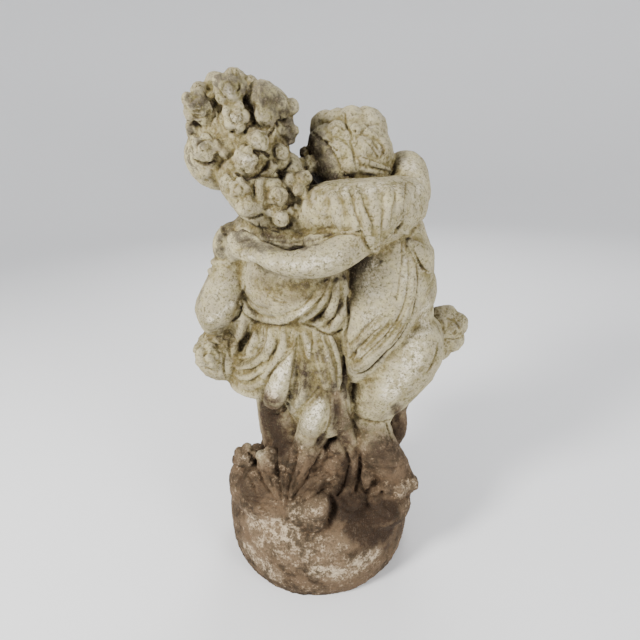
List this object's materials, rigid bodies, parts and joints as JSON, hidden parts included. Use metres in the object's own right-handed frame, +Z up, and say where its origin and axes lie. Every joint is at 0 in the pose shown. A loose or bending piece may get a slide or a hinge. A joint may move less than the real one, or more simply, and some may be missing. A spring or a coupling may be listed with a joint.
{
  "type": "stone putto group statue",
  "caption": "Cast-stone garden statue of two embracing putti standing on a round rocky mound, with draped clothes, curly hair, roses and leaves.",
  "frame": {"origin": "centre of the mound's flat underside, on the ground", "axes": "+Z up; +Y is the side that the two faces look to; the backs, which the picture shows, look along -Y"},
  "size_m": [0.3849, 0.2684, 0.6503],
  "materials": {
    "cast_stone": "weathered pale cast stone with lichen, soil in the hollows and worn white high spots"
  },
  "bodies": {
    "root": {"embracing_putti": "cast_stone"}
  },
  "joints": []
}
